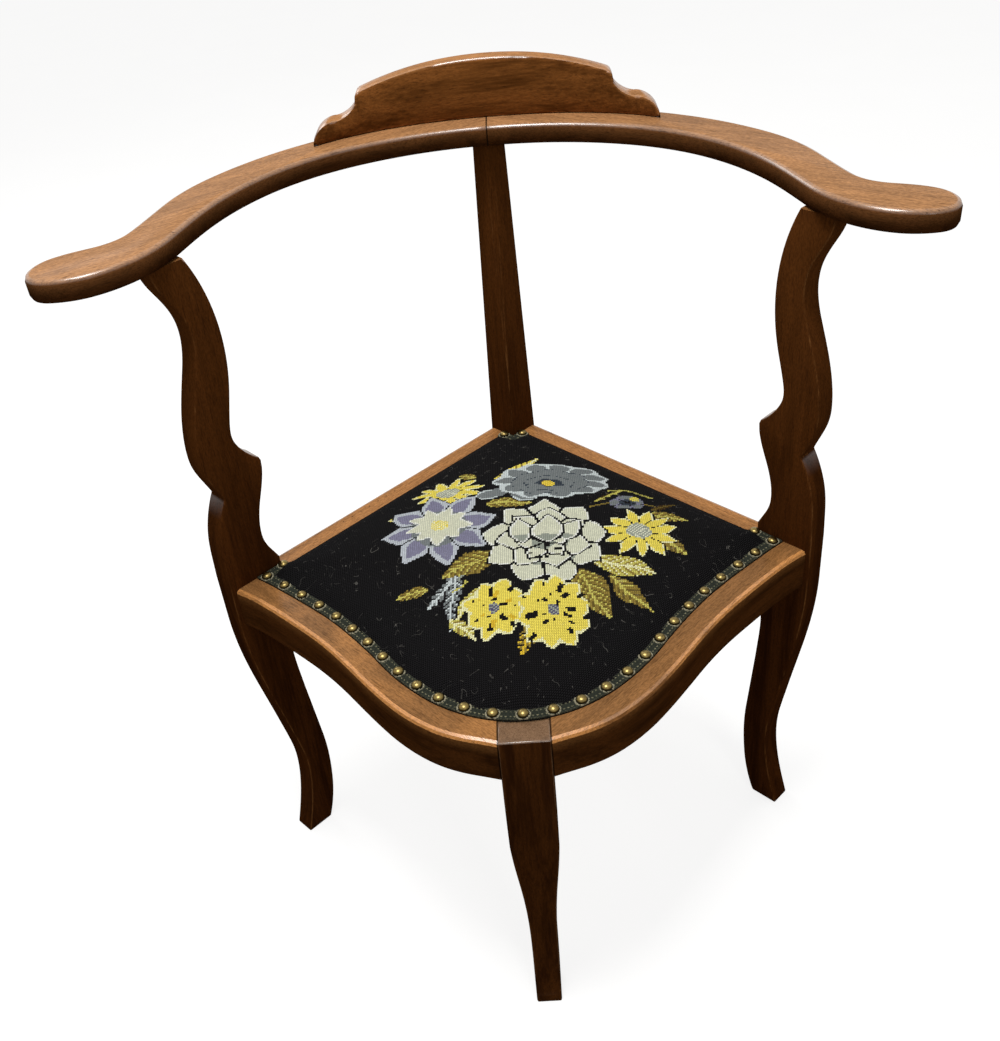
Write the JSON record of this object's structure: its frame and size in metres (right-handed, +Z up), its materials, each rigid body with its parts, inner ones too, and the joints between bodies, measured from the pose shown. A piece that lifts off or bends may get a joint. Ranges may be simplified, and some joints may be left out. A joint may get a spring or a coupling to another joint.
{
  "type": "corner chair",
  "caption": "Low-backed wooden corner chair with a bowed arm and crest rail, shaped posts, serpentine seat rails and a stuffed needlework seat edged with braid and dome nails.",
  "frame": {"origin": "centre of the footprint's bounding box on the floor", "axes": "+Z up, +X to the right seen from the front leg, the front leg points to -Y and the crest rail is towards +Y"},
  "size_m": [0.7584, 0.5624, 0.817],
  "materials": {
    "leg_wood": "satin polish, worn edges",
    "post_wood": "satin polish, worn edges",
    "rear_post_wood": "satin polish",
    "rail_wood": "satin polish, faded on top",
    "arm_wood": "satin polish, faded on top",
    "crest_wood": "satin polish",
    "dowel_wood": "bare",
    "block_wood": "bare",
    "webbing": "jute webbing",
    "hessian": "coarse jute cloth",
    "stuffing": "curled hair",
    "needlework": "wool needlework",
    "braid": "woven braid",
    "nail_brass": "aged brass"
  },
  "bodies": {
    "root": {"front_leg": "leg_wood", "left_post": "post_wood", "right_post": "post_wood", "rear_post": "rear_post_wood", "front_rail_left": "rail_wood", "front_rail_right": "rail_wood", "rear_rail_left": "rail_wood", "rear_rail_right": "rail_wood", "arm_left": "arm_wood", "arm_right": "arm_wood", "crest_rail": "crest_wood", "post_dowels": "dowel_wood", "crest_dowels": "dowel_wood", "corner_block_left": "block_wood", "corner_block_right": "block_wood", "corner_block_rear": "block_wood", "corner_block_front": "block_wood", "webbing": "webbing", "hessian": "hessian", "seat_stuffing": "stuffing", "seat_cover": "needlework", "braid_left": "braid", "braid_right": "braid", "braid_rear": "braid", "dome_nails_left": "nail_brass", "dome_nails_right": "nail_brass", "dome_nails_rear": "nail_brass"}
  },
  "joints": []
}
